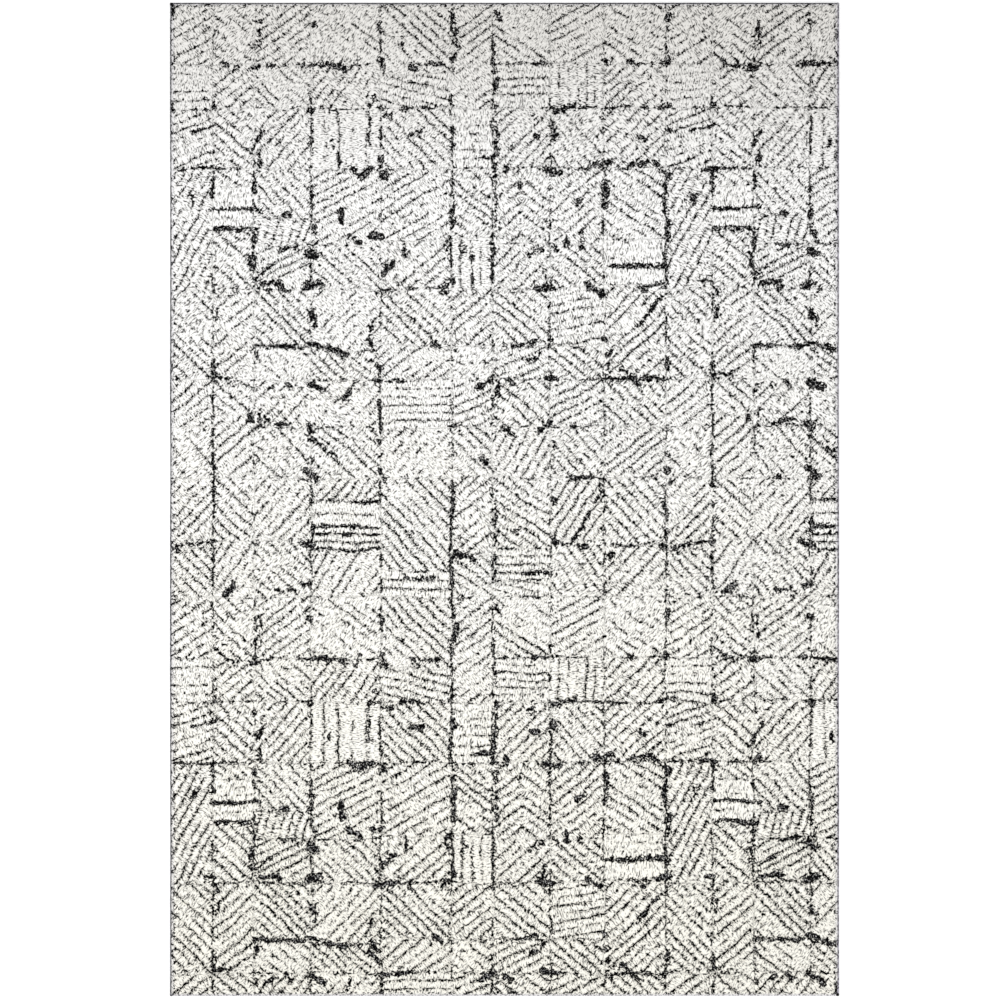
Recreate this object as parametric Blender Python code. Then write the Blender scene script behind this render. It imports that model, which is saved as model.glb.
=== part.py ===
"""High-and-low pile area rug, lying flat on the floor.

The rug is a stack of layers with a sewn edge. From the floor up: a secondary backing
cloth, a latex coat, the ground weave, a short charcoal ground pile, and the tall cream
pile. The cream pile stands in columns, and each column is cut across into blocks by
carved channels. All four sides of the ground weave are overcast with yarn round a
filler cord, and a corner tack closes each corner.

Frame: metres, +X across the rug, +Y along it towards the head end, +Z up. The origin is
on the floor, under the middle of the rug.
"""

import math
from dataclasses import dataclass

import bmesh
import bpy
from mathutils import Vector

# Overall size
RUG_WIDTH = 1.600
RUG_LENGTH = 2.375

# Layers, from the floor up
BACKING_THICKNESS = 0.0010
LATEX_THICKNESS = 0.0008
WEAVE_THICKNESS = 0.0020
GROUND_PILE_HEIGHT = 0.0030
CREAM_PILE_HEIGHT = 0.0090

# Sewn edge
CORD_DIAMETER = 0.0029
OVERCAST_WALL = 0.0013
OVERCAST_LAP = 0.0024
OVERCAST_ROUNDING = 0.0020
ROUNDING_STEPS = 5

# Carving of the cream pile
PILE_EDGE_INSET = 0.0050
CHANNEL_WIDTH = 0.0050
CHANNEL_DEPTH = 0.0060
PILE_CROWN = 0.0025

# Left between pieces that touch
FIT_GAP = 0.0003

# The design repeats across and along the rug. Drawn widths of its columns, left to right,
# and drawn heights of its rows, head to foot.
REPEAT_COLUMNS = (0.099, 0.136, 0.167, 0.170, 0.098, 0.139, 0.129, 0.148, 0.112)
REPEAT_ROWS = (0.146, 0.105, 0.144, 0.182, 0.103, 0.139, 0.084, 0.110, 0.122, 0.112, 0.060, 0.112)
# The left edge cuts the repeat's last column, and the right edge its third.
LEAD_IN_COLUMN = 0.100
RUN_OUT_COLUMN = 0.065
# The second repeat is cut short at the foot, in its eighth row.
ROWS_OF_SECOND_REPEAT = 7
RUN_OUT_ROW = 0.055

COLLECTION_NAME = "area_rug"
CUTTER_COLLECTION_NAME = "area_rug_cutters"

# Heights of the layers' undersides, which follow from the stack
LATEX_BASE = BACKING_THICKNESS + FIT_GAP
WEAVE_BASE = LATEX_BASE + LATEX_THICKNESS + FIT_GAP
WEAVE_TOP = WEAVE_BASE + WEAVE_THICKNESS
GROUND_PILE_BASE = WEAVE_TOP + FIT_GAP
CREAM_PILE_BASE = GROUND_PILE_BASE + GROUND_PILE_HEIGHT + FIT_GAP
RUG_HEIGHT = CREAM_PILE_BASE + CREAM_PILE_HEIGHT

# The overcast edge's hollow holds the cord and, beside it, the selvedge of the weave
HOLLOW_BASE = OVERCAST_WALL
HOLLOW_TOP = max(HOLLOW_BASE + 2 * FIT_GAP + CORD_DIAMETER, WEAVE_TOP + FIT_GAP)
OVERCAST_HEIGHT = HOLLOW_TOP + OVERCAST_WALL
CORD_INSET = OVERCAST_WALL + FIT_GAP + CORD_DIAMETER / 2
WEAVE_INSET = OVERCAST_WALL + 2 * FIT_GAP + CORD_DIAMETER
OVERCAST_WIDTH = WEAVE_INSET + OVERCAST_LAP
FIELD_INSET = OVERCAST_WIDTH + FIT_GAP


@dataclass(frozen=True)
class Finish:
    """A material: its name, colour (linear RGB), roughness and metallic value."""

    name: str
    colour: tuple
    roughness: float
    metallic: float = 0.0

    def material(self):
        found = bpy.data.materials.get(self.name)
        if found:
            return found
        made = bpy.data.materials.new(self.name)
        made.use_nodes = True
        shader = made.node_tree.nodes["Principled BSDF"]
        shader.inputs["Base Color"].default_value = (*self.colour, 1.0)
        shader.inputs["Roughness"].default_value = self.roughness
        shader.inputs["Metallic"].default_value = self.metallic
        return made


CREAM_YARN = Finish("cream_yarn", (0.74, 0.72, 0.67), 0.95)
CHARCOAL_YARN = Finish("charcoal_yarn", (0.045, 0.045, 0.050), 0.95)
GREY_YARN = Finish("grey_yarn", (0.24, 0.24, 0.26), 0.90)
JUTE_WEAVE = Finish("jute_weave", (0.42, 0.33, 0.22), 0.95)
LATEX = Finish("latex", (0.62, 0.60, 0.52), 0.70)
BACKING_CLOTH = Finish("backing_cloth", (0.50, 0.46, 0.38), 0.90)
FILLER_CORD = Finish("filler_cord", (0.60, 0.56, 0.48), 0.95)


@dataclass(frozen=True)
class Side:
    """One side of the rug: which way is inwards, how far out its edge is, and its length."""

    name: str
    heading: float
    distance: float
    length: float

    @property
    def inwards(self):
        return Vector((math.cos(self.heading), math.sin(self.heading), 0.0))

    @property
    def edge_middle(self):
        return self.inwards * -self.distance


SIDES = (
    Side("left", 0.0, RUG_WIDTH / 2, RUG_LENGTH),
    Side("right", math.pi, RUG_WIDTH / 2, RUG_LENGTH),
    Side("foot", math.pi / 2, RUG_LENGTH / 2, RUG_WIDTH),
    Side("head", -math.pi / 2, RUG_LENGTH / 2, RUG_WIDTH),
)


def clear_scene():
    for obj in list(bpy.data.objects):
        bpy.data.objects.remove(obj)


def new_collection(name):
    made = bpy.data.collections.new(name)
    bpy.context.scene.collection.children.link(made)
    return made


def place(obj, collection, finish=None):
    """Links obj to its collection and gives it its material."""
    collection.objects.link(obj)
    if finish:
        obj.data.materials.append(finish.material())
    return obj


def outline_solid(name, points, thickness):
    """A flat outline in local X and Y, extruded to both sides along local Z."""
    curve = bpy.data.curves.new(name, "CURVE")
    curve.dimensions = "2D"
    curve.fill_mode = "BOTH"
    curve.extrude = thickness / 2
    spline = curve.splines.new("POLY")
    spline.points.add(len(points) - 1)
    for spline_point, (x, y) in zip(spline.points, points):
        spline_point.co = (x, y, 0.0, 1.0)
    spline.use_cyclic_u = True
    return bpy.data.objects.new(name, curve)


def box_mesh(name, size):
    """A box of this size, with its middle at the origin."""
    mesh = bpy.data.meshes.new(name)
    shape = bmesh.new()
    bmesh.ops.create_cube(shape, size=1.0)
    bmesh.ops.scale(shape, vec=size, verts=shape.verts)
    shape.to_mesh(mesh)
    shape.free()
    return bpy.data.objects.new(name, mesh)


def layer(name, inset, base, thickness, finish, collection):
    """A flat layer of the rug that stops this far inside its outline."""
    size = (RUG_WIDTH - 2 * inset, RUG_LENGTH - 2 * inset, thickness)
    obj = box_mesh(name, size)
    obj.location = (0.0, 0.0, base + thickness / 2)
    return place(obj, collection, finish)


def arc(centre, radius, start, end, steps):
    """Points of an arc from one angle to another, in degrees."""
    angles = [math.radians(start + (end - start) * i / steps) for i in range(steps + 1)]
    return [(centre[0] + radius * math.cos(a), centre[1] + radius * math.sin(a)) for a in angles]


def overcast_profile():
    """Section of the overcast edge: X runs inwards from the rug's edge, Y runs up.

    It is a channel that opens inwards, with its two outer corners rounded.
    """
    r = OVERCAST_ROUNDING
    lower = arc((r, r), r, 270, 180, ROUNDING_STEPS)
    upper = arc((r, OVERCAST_HEIGHT - r), r, 180, 90, ROUNDING_STEPS)
    return [
        (OVERCAST_WIDTH, 0.0),
        *lower,
        *upper,
        (OVERCAST_WIDTH, OVERCAST_HEIGHT),
        (OVERCAST_WIDTH, HOLLOW_TOP),
        (OVERCAST_WALL, HOLLOW_TOP),
        (OVERCAST_WALL, HOLLOW_BASE),
        (OVERCAST_WIDTH, HOLLOW_BASE),
    ]


def overcast_edge(side, collection):
    """The overcast yarn along one side, between the two corner tacks."""
    run = side.length - 2 * (OVERCAST_WIDTH + FIT_GAP)
    obj = outline_solid(f"overcast_{side.name}", overcast_profile(), run)
    obj.rotation_euler = (math.pi / 2, 0.0, side.heading)
    obj.location = side.edge_middle
    return place(obj, collection, GREY_YARN)


def filler_cord(side, collection):
    """The straight cord inside one overcast side."""
    name = f"filler_cord_{side.name}"
    half_run = side.length / 2 - OVERCAST_WIDTH - FIT_GAP
    curve = bpy.data.curves.new(name, "CURVE")
    curve.dimensions = "3D"
    curve.bevel_depth = CORD_DIAMETER / 2
    curve.bevel_resolution = 2
    curve.use_fill_caps = True
    spline = curve.splines.new("POLY")
    spline.points.add(1)
    spline.points[0].co = (0.0, -half_run, 0.0, 1.0)
    spline.points[1].co = (0.0, half_run, 0.0, 1.0)
    obj = bpy.data.objects.new(name, curve)
    obj.rotation_euler = (0.0, 0.0, side.heading)
    height = (HOLLOW_BASE + HOLLOW_TOP) / 2
    obj.location = side.edge_middle + side.inwards * CORD_INSET + Vector((0.0, 0.0, height))
    return place(obj, collection, FILLER_CORD)


def corner_tack(end, hand, collection, cutters):
    """The stitched block at one corner, with a pocket for the corner of the weave."""
    out_x = {"left": -1, "right": 1}[hand]
    out_y = {"foot": -1, "head": 1}[end]
    name = f"corner_tack_{end}_{hand}"
    obj = box_mesh(name, (OVERCAST_WIDTH, OVERCAST_WIDTH, OVERCAST_HEIGHT))
    middle = Vector((
        out_x * (RUG_WIDTH - OVERCAST_WIDTH) / 2,
        out_y * (RUG_LENGTH - OVERCAST_WIDTH) / 2,
        OVERCAST_HEIGHT / 2,
    ))
    obj.location = middle
    round_outer_edges(obj.data, out_x, out_y)

    # The pocket runs out past the two inner faces, where the overcast sides go on.
    wall = WEAVE_INSET - FIT_GAP
    reach = OVERCAST_WIDTH
    pocket = box_mesh(f"{name}_pocket", (reach, reach, HOLLOW_TOP - HOLLOW_BASE))
    pocket.location = (
        out_x * (RUG_WIDTH / 2 - wall - reach / 2),
        out_y * (RUG_LENGTH / 2 - wall - reach / 2),
        (HOLLOW_BASE + HOLLOW_TOP) / 2,
    )
    pocket.hide_render = True
    pocket.display_type = "WIRE"
    place(pocket, cutters)
    cut = obj.modifiers.new("pocket", "BOOLEAN")
    cut.operation = "DIFFERENCE"
    cut.object = pocket
    return place(obj, collection, GREY_YARN)


def round_outer_edges(mesh, out_x, out_y):
    """Rounds the edges of a corner block that show: its upright outer edge and its outer top."""
    shape = bmesh.new()
    shape.from_mesh(mesh)

    def is_outer(edge):
        middle = (edge.verts[0].co + edge.verts[1].co) / 2
        outer_x = middle.x * out_x > OVERCAST_WIDTH / 4
        outer_y = middle.y * out_y > OVERCAST_WIDTH / 4
        on_top = middle.z > OVERCAST_HEIGHT / 4
        upright = abs(middle.z) < OVERCAST_HEIGHT / 4
        return (upright and outer_x and outer_y) or (on_top and (outer_x or outer_y))

    bmesh.ops.bevel(
        shape,
        geom=[edge for edge in shape.edges if is_outer(edge)],
        affect="EDGES",
        offset=OVERCAST_ROUNDING,
        segments=ROUNDING_STEPS - 2,
        profile=0.5,
        material=-1,
    )
    shape.to_mesh(mesh)
    shape.free()


def spans(drawn, start, end):
    """(start, end) of each drawn width, stretched together so that they fill the room."""
    scale = (end - start) / sum(drawn)
    found = []
    at = start
    for width in drawn:
        found.append((at, at + width * scale))
        at += width * scale
    return found


def column_spans():
    """Where each cream column stands across the rug, from the left edge to the right."""
    drawn = (LEAD_IN_COLUMN, *REPEAT_COLUMNS, *REPEAT_COLUMNS[:2], RUN_OUT_COLUMN)
    half = RUG_WIDTH / 2 - PILE_EDGE_INSET
    return spans(drawn, -half, half)


def row_spans():
    """Where each row of blocks lies along the rug, from the foot to the head."""
    head_to_foot = (*REPEAT_ROWS, *REPEAT_ROWS[:ROWS_OF_SECOND_REPEAT], RUN_OUT_ROW)
    half = RUG_LENGTH / 2 - PILE_EDGE_INSET
    return spans(tuple(reversed(head_to_foot)), -half, half)


def column_profile():
    """Side view of a cream column: X runs from foot to head, Y runs up.

    The column is one strip of pile with a carved channel between its blocks.
    """
    floor = CREAM_PILE_BASE + CREAM_PILE_HEIGHT - CHANNEL_DEPTH
    top = CREAM_PILE_BASE + CREAM_PILE_HEIGHT
    rows = row_spans()
    points = [(rows[-1][1], CREAM_PILE_BASE), (rows[0][0], CREAM_PILE_BASE)]
    for number, (start, end) in enumerate(rows):
        first, last = number == 0, number == len(rows) - 1
        near = start if first else start + CHANNEL_WIDTH / 2
        far = end if last else end - CHANNEL_WIDTH / 2
        if not first:
            points.append((near, floor))
        points.append((near, top - PILE_CROWN))
        points.append((near + PILE_CROWN, top))
        points.append((far - PILE_CROWN, top))
        points.append((far, top - PILE_CROWN))
        if not last:
            points.append((far, floor))
    return points


def pile_columns(collection):
    """The cream pile: one strip for each column of the design."""
    profile = column_profile()
    columns = column_spans()
    for number, (left, right) in enumerate(columns):
        first, last = number == 0, number == len(columns) - 1
        near = left if first else left + CHANNEL_WIDTH / 2
        far = right if last else right - CHANNEL_WIDTH / 2
        obj = outline_solid(f"pile_column_{number + 1:02d}", profile, far - near)
        obj.rotation_euler = (math.pi / 2, 0.0, math.pi / 2)
        obj.location = ((near + far) / 2, 0.0, 0.0)
        place(obj, collection, CREAM_YARN)


def build():
    clear_scene()
    rug = new_collection(COLLECTION_NAME)
    cutters = new_collection(CUTTER_COLLECTION_NAME)

    layer("secondary_backing", FIELD_INSET, 0.0, BACKING_THICKNESS, BACKING_CLOTH, rug)
    layer("latex_coat", FIELD_INSET, LATEX_BASE, LATEX_THICKNESS, LATEX, rug)
    layer("ground_weave", WEAVE_INSET, WEAVE_BASE, WEAVE_THICKNESS, JUTE_WEAVE, rug)
    layer("ground_pile", FIELD_INSET, GROUND_PILE_BASE, GROUND_PILE_HEIGHT, CHARCOAL_YARN, rug)
    pile_columns(rug)
    for side in SIDES:
        overcast_edge(side, rug)
        filler_cord(side, rug)
    for end in ("head", "foot"):
        for hand in ("left", "right"):
            corner_tack(end, hand, rug, cutters)


build()
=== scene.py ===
"""The looks of a high-and-low pile area rug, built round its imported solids.

Each cream pile column, the charcoal ground pile, the overcast edges and their corner
tacks, and the woven layers underneath are modelled here, over the solids that the frame
gives. Everything is in metres, with the head end of the rug towards +Y and +Z up.
"""

import logging
import math
from dataclasses import dataclass
from enum import Enum

import bmesh
import bpy
import numpy as np
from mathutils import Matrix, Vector


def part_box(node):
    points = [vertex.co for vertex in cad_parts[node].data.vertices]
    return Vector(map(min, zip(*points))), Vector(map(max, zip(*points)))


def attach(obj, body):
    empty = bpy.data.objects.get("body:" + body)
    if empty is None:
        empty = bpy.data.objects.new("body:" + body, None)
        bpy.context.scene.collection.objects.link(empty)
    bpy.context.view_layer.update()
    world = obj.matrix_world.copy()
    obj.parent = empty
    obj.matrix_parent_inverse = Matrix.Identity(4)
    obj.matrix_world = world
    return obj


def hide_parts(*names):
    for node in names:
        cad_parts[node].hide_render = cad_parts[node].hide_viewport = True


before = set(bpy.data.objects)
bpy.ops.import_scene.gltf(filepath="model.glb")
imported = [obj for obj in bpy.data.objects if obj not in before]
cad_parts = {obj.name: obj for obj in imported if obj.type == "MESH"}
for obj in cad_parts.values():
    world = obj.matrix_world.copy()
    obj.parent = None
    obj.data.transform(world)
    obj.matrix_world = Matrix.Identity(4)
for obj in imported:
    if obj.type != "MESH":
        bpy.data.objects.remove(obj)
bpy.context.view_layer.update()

BODY = "root"
MM = 0.001

log = logging.getLogger("area_rug")


# ---------------------------------------------------------------------------
# The carved design
# ---------------------------------------------------------------------------


@dataclass(frozen=True)
class Block:
    """One carved block in a column of the design.

    Attributes:
        height: Drawn height along the rug, in millimetres.
        lean: Slope of the ridges in degrees. Up to the right is positive, 90 is upright.
        head: How strongly charcoal shows along the head seam, from 0 to 9.
        side: How strongly charcoal shows along the left seam, from 0 to 9.
        ink: How strongly charcoal shows between the ridges, from 0 to 9.
        pitch: Distance from ridge to ridge, in millimetres.
        peaked: True where the ridges climb from both sides to a peak in the middle.
    """

    height: float
    lean: float
    head: int
    side: int
    ink: int = 5
    pitch: float = 20.0
    peaked: bool = False


@dataclass(frozen=True)
class Mark:
    """One heavy charcoal mark, drawn as a thick stroke.

    Attributes:
        across: Start of the stroke, in millimetres from the repeat's left side.
        down: Start of the stroke, in millimetres from the repeat's head.
        run: How far the stroke goes on to the right, in millimetres.
        drop: How far it goes on towards the foot, in millimetres.
        width: Width of the stroke, in millimetres.
    """

    across: float
    down: float
    run: float
    drop: float
    width: float


# Nine columns make one repeat of the design. Each lists its blocks from head to foot.
DESIGN_COLUMNS = (
    (
        Block(146, -45, 2, 3), Block(105, 42, 4, 3), Block(144, -41, 4, 2), Block(41, -40, 6, 1),
        Block(55, 0, 2, 1, ink=1), Block(45, 0, 8, 1, ink=1), Block(146, -44, 8, 3),
        Block(218, 40, 3, 4), Block(84, -40, 3, 6), Block(151, 45, 2, 7), Block(148, -42, 2, 7),
        Block(136, 52, 1, 7),
    ),
    (
        Block(146, 40, 1, 5), Block(105, -48, 4, 2), Block(144, 42, 3, 4), Block(117, -50, 2, 3),
        Block(65, 80, 3, 4), Block(105, 28, 4, 5), Block(136, -42, 5, 1), Block(81, -38, 5, 3, ink=3),
        Block(112, 42, 2, 2), Block(122, -50, 4, 3), Block(148, 46, 2, 1), Block(136, -45, 2, 1),
    ),
    (
        Block(146, -40, 2, 3, ink=3), Block(105, 52, 6, 3), Block(144, 90, 4, 3, pitch=33),
        Block(182, 32, 3, 5), Block(105, -45, 4, 5), Block(146, 45, 3, 3, ink=4),
        Block(72, -42, 6, 2), Block(112, 42, 4, 4, ink=3), Block(122, -42, 3, 4),
        Block(55, 55, 2, 6), Block(62, 0, 6, 2, ink=3, pitch=31), Block(55, 0, 7, 2, ink=7, pitch=19),
        Block(112, 52, 5, 5),
    ),
    (
        Block(170, -47, 2, 4), Block(81, -13, 1, 2), Block(144, -42, 4, 4), Block(175, 31, 3, 4),
        Block(112, 40, 2, 3), Block(136, -46, 5, 4, ink=6), Block(81, 35, 1, 2),
        Block(120, 0, 4, 5, pitch=18.5), Block(115, 45, 2, 3, ink=3), Block(220, -48, 3, 5, ink=6),
        Block(65, 0, 3, 4),
    ),
    (
        Block(251, 36, 2, 5), Block(144, 0, 2, 6, ink=2), Block(170, -38, 5, 6),
        Block(117, -86, 3, 6, pitch=23), Block(136, 38, 2, 2, ink=6), Block(81, -45, 2, 3, ink=3),
        Block(112, 30, 3, 3), Block(122, -45, 3, 3), Block(184, 40, 2, 7), Block(101, -38, 2, 7),
    ),
    (
        Block(146, -36, 3, 4, ink=4), Block(105, 0, 4, 4, pitch=19), Block(144, 45, 2, 5, ink=6),
        Block(182, 42, 3, 5, peaked=True), Block(105, 42, 1, 6), Block(136, -40, 2, 2, ink=6),
        Block(81, 26, 4, 3, ink=6), Block(112, -40, 3, 4), Block(122, 60, 2, 2),
        Block(167, -36, 2, 4, ink=7), Block(77, 0, 3, 4), Block(41, -15, 4, 2),
    ),
    (
        Block(146, 30, 2, 4), Block(105, 90, 2, 4, pitch=21), Block(144, -50, 7, 5),
        Block(182, 42, 4, 5, ink=6), Block(105, -43, 1, 2), Block(136, 6, 2, 5, pitch=19),
        Block(81, -38, 3, 3), Block(112, 32, 4, 1), Block(122, -50, 3, 3), Block(148, 54, 3, 5, ink=7),
        Block(136, -50, 3, 4),
    ),
    (
        Block(146, -34, 2, 2, ink=3), Block(105, 38, 4, 2), Block(144, 47, 6, 3, ink=6),
        Block(170, -33, 4, 5), Block(65, 0, 1, 3, ink=1), Block(43, 0, 8, 2, ink=0, pitch=43),
        Block(227, 44, 5, 2, ink=6), Block(112, -40, 6, 4), Block(122, 42, 1, 3, ink=6),
        Block(160, -48, 2, 5), Block(124, 48, 4, 5),
    ),
    (
        Block(146, 30, 2, 5), Block(105, 0, 2, 4, ink=3), Block(144, 17, 5, 3), Block(287, 60, 5, 7),
        Block(218, -41, 2, 4), Block(112, 38, 2, 3), Block(122, -48, 1, 5, ink=3),
        Block(167, 44, 1, 6), Block(117, -48, 3, 5),
    ),
)

# Heavy charcoal marks of one repeat, in millimetres, in four bands from head to foot.
DESIGN_MARKS = tuple(Mark(*drawn) for drawn in (
    # from the head down to 300
    (228, 49, 17, 4, 7), (110, 40, 0, 62, 6), (4, 118, 34, 32, 5), (38, 150, 33, 0, 4),
    (92, 154, 16, -1, 14), (132, 148, 12, -2, 7), (217, 146, 75, 2, 11), (302, 148, 10, 12, 18),
    (351, 134, -12, 33, 7), (399, 45, 2, 29, 12), (452, 90, 0, 16, 8), (474, 149, 12, 12, 14),
    (401, 139, 10, 28, 11), (3, 235, 0, 15, 10), (235, 220, 0, 138, 3), (234, 249, 3, 12, 12),
    (1199, 290, -57, 15, 5), (572, 19, 0, 34, 9), (577, 69, 0, 36, 13), (572, 127, 0, 14, 9),
    (504, 147, 39, 1, 9), (676, 19, 10, 19, 12), (571, 222, 0, 24, 9), (669, 74, 0, 88, 6),
    (673, 179, 0, 22, 11), (691, 144, 40, 0, 6), (765, 146, 43, 1, 8), (816, 258, 12, -2, 15),
    (834, 251, 38, -5, 6), (757, 268, 11, 4, 14), (935, 141, 9, 0, 12), (992, 141, 9, 2, 15),
    (1085, 134, 0, 11, 14), (1086, 30, 0, 15, 9), (675, 249, 0, 11, 9), (806, 289, 6, 43, 12),
    (386, 227, 2, 6, 12), (405, 265, 20, 1, 7), (447, 254, 60, -5, 5), (1061, 247, 34, -2, 10),
    (571, 296, 0, 24, 15), (676, 282, -4, 117, 7), (1088, 304, 5, 0, 12),
    # from 300 down to 600
    (116, 306, -18, 41, 9), (111, 368, 0, 22, 13), (1163, 394, 38, 0, 9), (0, 394, 0, 67, 7),
    (1146, 460, 0, 18, 10), (3, 490, 112, 0, 8), (5, 537, 50, 5, 8), (55, 542, 53, -2, 8),
    (99, 409, 0, 43, 7), (98, 547, 0, 55, 7), (165, 504, 13, 2, 14), (235, 437, 0, 77, 7),
    (282, 325, 0, 19, 7), (300, 361, 0, 19, 7), (325, 392, 20, 18, 14), (345, 410, 33, -15, 16),
    (373, 244, 0, 93, 5), (374, 335, 1, 5, 12), (475, 311, 25, -3, 12), (401, 303, 0, 15, 10),
    (404, 361, 0, 50, 7), (403, 402, 7, 9, 17), (308, 495, 0, 26, 19), (378, 552, 20, 4, 21),
    (325, 550, 26, 19, 13), (239, 535, 9, 36, 10), (229, 595, 16, 9, 22), (459, 576, 0, 26, 11),
    (762, 318, 12, 3, 12), (706, 350, 7, -12, 7), (569, 343, 0, 12, 13), (629, 373, 40, -2, 11),
    (703, 385, 0, 12, 15), (795, 399, 30, 7, 17), (865, 399, 36, -3, 6), (911, 387, 39, -3, 14),
    (992, 387, 44, -4, 14), (1020, 322, 12, 6, 10), (1050, 385, 38, 33, 16), (1078, 423, 0, 74, 7),
    (1086, 519, 0, 55, 7), (937, 430, 4, 29, 15), (937, 484, 1, 6, 16), (870, 481, 14, -11, 16),
    (731, 432, 0, 11, 7), (676, 409, 0, 122, 7), (569, 428, 0, 12, 12), (574, 449, 0, 91, 8),
    (845, 564, 0, 19, 7), (877, 547, 0, 41, 7), (562, 566, -6, 36, 10), (597, 586, 7, 10, 13),
    (765, 597, 6, 2, 9), (667, 552, 0, 60, 7), (160, 581, 40, 0, 9), (92, 602, 0, 29, 15),
    (594, 586, 0, 21, 7), (755, 605, 29, -15, 9), (819, 581, 0, 14, 9), (557, 571, 3, 46, 7),
    # from 600 down to 1000
    (96, 650, 47, -26, 6), (115, 670, 45, -6, 13), (160, 662, 2, 18, 12), (222, 675, 28, -7, 19),
    (1180, 662, 19, 6, 8), (-22, 664, 18, 0, 5), (-4, 666, 16, 34, 10), (14, 728, -5, 26, 5),
    (235, 740, 3, 12, 19), (246, 755, 0, 19, 8), (229, 812, 45, 14, 14), (274, 828, 44, 8, 14),
    (98, 817, 115, 5, 9), (103, 817, 0, 27, 9), (4, 851, -2, 50, 7), (10, 890, 35, 0, 6),
    (178, 905, 8, 10, 13), (131, 922, 20, -10, 6), (234, 908, 28, 14, 23), (103, 913, 0, 12, 8),
    (313, 944, 19, -29, 9), (394, 901, 77, 0, 7), (399, 946, 2, 77, 7), (387, 690, 45, -10, 13),
    (468, 690, 7, 8, 14), (432, 617, -31, 28, 10), (380, 772, -5, 36, 6), (375, 808, 10, 24, 6),
    (385, 832, 14, 12, 7), (375, 846, 29, 29, 9), (87, 985, 3, 10, 14), (110, 975, 0, 34, 7),
    (569, 645, 5, 22, 13), (557, 679, -14, 14, 17), (618, 600, 4, 71, 5), (667, 612, 0, 81, 7),
    (790, 640, 0, 44, 7), (774, 679, 34, 3, 19), (896, 679, 29, 13, 19), (946, 627, 134, -1, 8),
    (1085, 617, 0, 52, 7), (1020, 681, 65, -14, 12), (1028, 688, 4, 4, 17), (1075, 703, -66, 74, 6),
    (806, 799, 4, 4, 12), (530, 812, 10, 6, 18), (715, 820, 57, -12, 9), (755, 853, 20, -5, 9),
    (775, 848, 14, -18, 8), (932, 808, 8, 0, 10), (940, 845, 8, -7, 12), (944, 865, 8, 48, 7),
    (954, 899, 138, 1, 9), (975, 877, 43, 38, 12), (1085, 846, 0, 29, 12), (702, 903, 7, 10, 17),
    (782, 896, 38, 5, 15), (633, 918, 39, -22, 10), (679, 915, 0, 27, 7), (397, 1045, 2, 3, 12),
    # from 1000 down to the foot of the repeat
    (127, 997, 28, 11, 9), (155, 1008, 46, -13, 8), (228, 1005, 7, 12, 18), (232, 1045, 14, -2, 11),
    (248, 1047, 44, 31, 5), (222, 1111, 27, 19, 19), (155, 1130, 7, 3, 10), (3, 1104, 1, 3, 10),
    (0, 1150, 4, 5, 10), (399, 1114, 0, 59, 7), (779, 1023, 29, -22, 15), (877, 1013, 2, 3, 9),
    (858, 1013, 3, 2, 8), (691, 1013, 24, 17, 11), (566, 1016, 5, -2, 12), (633, 1078, 36, 43, 10),
    (814, 1047, 0, 17, 8), (858, 1138, 43, -3, 12), (928, 1126, -3, 47, 7), (1085, 1114, 7, 33, 16),
    (995, 1110, 4, 1, 9), (571, 1164, 2, 4, 12), (1103, 1303, 5, 2, 17), (1115, 1295, 67, -11, 7),
    (1190, 1283, 3, 2, 12), (218, 1290, 19, 6, 21), (237, 1235, 0, 65, 8), (234, 1250, 165, 0, 4),
    (234, 1269, 165, 0, 3), (234, 1188, 167, 0, 3), (234, 1305, 165, 0, 3), (571, 1154, 0, 130, 8),
    (571, 1284, 0, 133, 8), (578, 1307, 40, 22, 21), (673, 1193, 0, 169, 6), (810, 1190, 2, 4, 12),
    (810, 1281, 2, 3, 12), (858, 1288, 42, -72, 7), (900, 1216, 39, -86, 6), (813, 1288, 78, 12, 8),
    (946, 1317, 4, 3, 16), (956, 1293, 79, 0, 7), (1068, 1298, 4, 3, 12), (1080, 1178, 0, 96, 8),
    (215, 1389, 19, 0, 15), (30, 1410, 20, -22, 17), (148, 1400, 48, 3, 9), (748, 1360, 50, 0, 8),
    (459, 1369, 64, 0, 7), (473, 1262, 3, 4, 10), (722, 1257, 5, 2, 7),
))

# Marks that the rug has once, measured from the pile's left side and the rug's head.
CORNER_MARKS = tuple(Mark(*drawn) for drawn in (
    (0, 5, 2, 3, 13), (0, 12, 0, 20, 7), (1588, 2366, -2, 5, 13), (1588, 2352, 0, 6, 6),
    (1589, 120, 0, 10, 7), (1588, 64, 0, 18, 4), (0, 470, 0, 8, 5),
))


# Random points along each side of the lattice that the noise repeats on.
LATTICE = 512


@dataclass(frozen=True)
class SmoothNoise:
    """Smooth random values from 0 to 1 over the plane, the same on each run.

    Attributes:
        cell: Distance between the random points, in metres.
        seed: Number that chooses the pattern.
    """

    cell: float
    seed: int

    def at(self, x: np.ndarray, y: np.ndarray) -> np.ndarray:
        """Reads the noise.

        Args:
            x: Positions across the rug, in metres.
            y: Positions along the rug, in metres.

        Returns:
            A value from 0 to 1 for each position.
        """
        lattice = np.random.default_rng(self.seed).random((LATTICE, LATTICE))
        along, across = x / self.cell, y / self.cell
        column, row = np.floor(along), np.floor(across)
        right, up = _eased(along - column), _eased(across - row)
        column = column.astype(int) % LATTICE
        row = row.astype(int) % LATTICE
        next_column, next_row = (column + 1) % LATTICE, (row + 1) % LATTICE
        near = lattice[row, column] * (1 - right) + lattice[row, next_column] * right
        far = lattice[next_row, column] * (1 - right) + lattice[next_row, next_column] * right
        return near * (1 - up) + far * up


def _eased(share: np.ndarray) -> np.ndarray:
    """Eases a share from 0 to 1, flat at both ends."""
    return share * share * (3 - 2 * share)


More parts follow.
